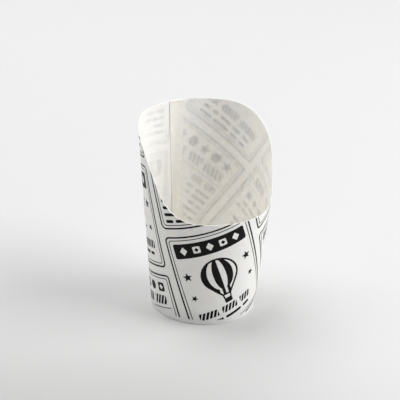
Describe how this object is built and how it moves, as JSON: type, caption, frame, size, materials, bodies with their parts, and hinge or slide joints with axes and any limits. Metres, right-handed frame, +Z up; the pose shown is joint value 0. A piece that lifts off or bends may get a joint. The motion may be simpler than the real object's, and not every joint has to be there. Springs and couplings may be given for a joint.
{
  "type": "paper fry cup",
  "caption": "Conical paperboard scoop cup for fries, tall rounded back, low front lip, black newsprint-style print on white board.",
  "frame": {"origin": "middle of the outline seen from above, on the plane that the foot stands on; the cup's axis is 2.4 mm towards -Y from it", "axes": "+Z up along the cup's axis; -Y towards the low front lip; +Y towards the tall back and its sealed lap; +X to the right as seen from the front"},
  "size_m": [0.0784, 0.077, 0.1109],
  "materials": {
    "white_board": "smooth white paperboard, matt with a faint sheen",
    "inner_board": "uncoated warm white paperboard",
    "black_ink": "flat black printing ink on the board, a little shiny"
  },
  "bodies": {
    "root": {"side_wall": "white_board", "bottom": "inner_board"}
  },
  "joints": []
}
